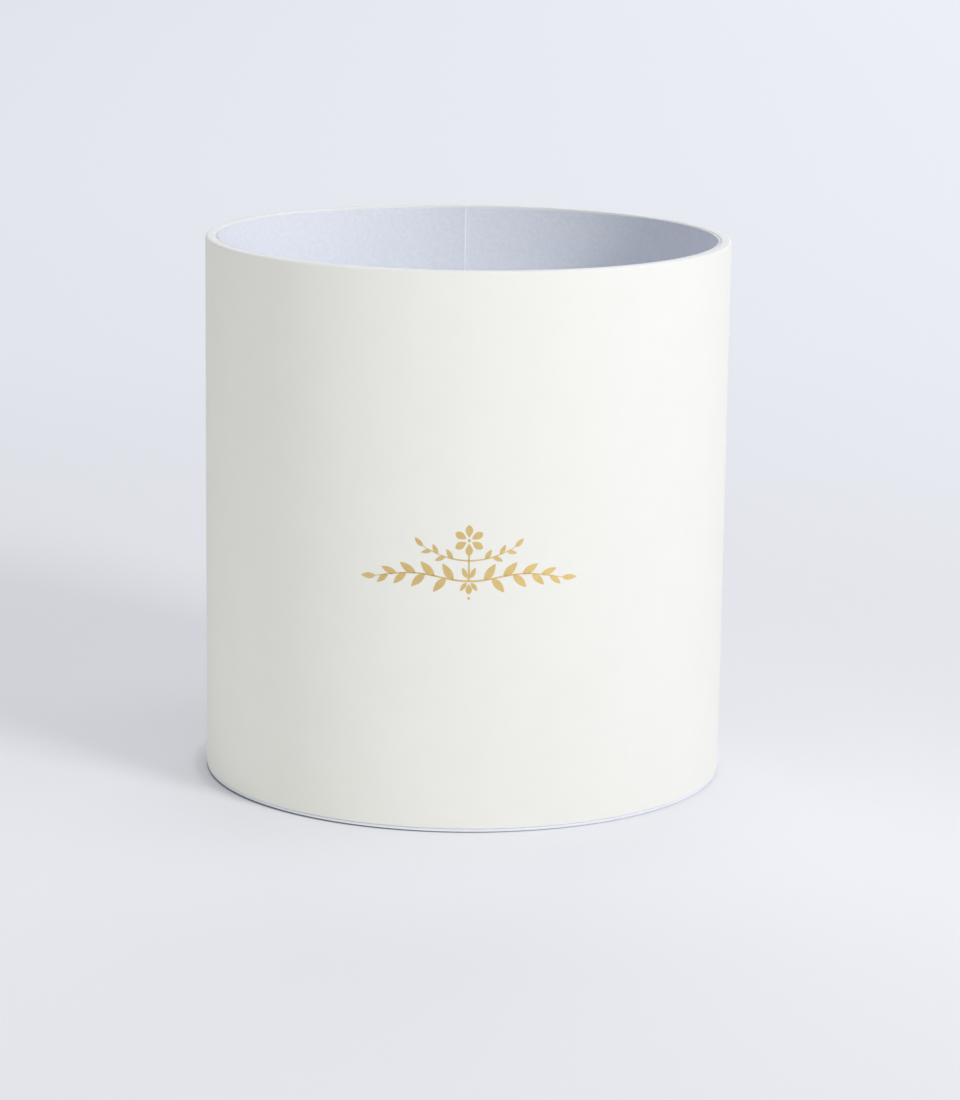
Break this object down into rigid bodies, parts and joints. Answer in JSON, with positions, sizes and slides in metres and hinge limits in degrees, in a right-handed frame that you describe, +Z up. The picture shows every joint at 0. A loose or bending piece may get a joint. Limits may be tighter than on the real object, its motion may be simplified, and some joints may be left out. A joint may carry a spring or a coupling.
{
  "type": "flower box",
  "caption": "Round rigid flower box without a lid: a paper-covered board wall with a turned-over rim, a lower-set liner, an inner floor and a covered base disc.",
  "frame": {"origin": "centre of the underside, on the surface the box stands on", "axes": "+Z up along the axis of the round wall, -Y towards the front, +Y towards the seams at the back"},
  "size_m": [0.2, 0.2002, 0.207],
  "materials": {
    "cover_paper": "fine-grained uncoated cream covering paper, matt",
    "lining_paper": "pale blue-white uncoated paper with a soft mottle, matt",
    "liner_card": "white-lined card with a cut edge",
    "greyboard": "pressed grey board, flecked",
    "kraft_tape": "gummed brown paper tape",
    "gold_foil": "hot-stamped gold foil, satin"
  },
  "bodies": {
    "root": {"wall_board": "greyboard", "joint_tape": "kraft_tape", "cover_paper": "cover_paper", "liner_card": "liner_card", "lining_paper": "lining_paper", "floor_board": "greyboard", "floor_paper": "lining_paper", "base_board": "greyboard", "base_paper": "lining_paper"}
  },
  "joints": []
}
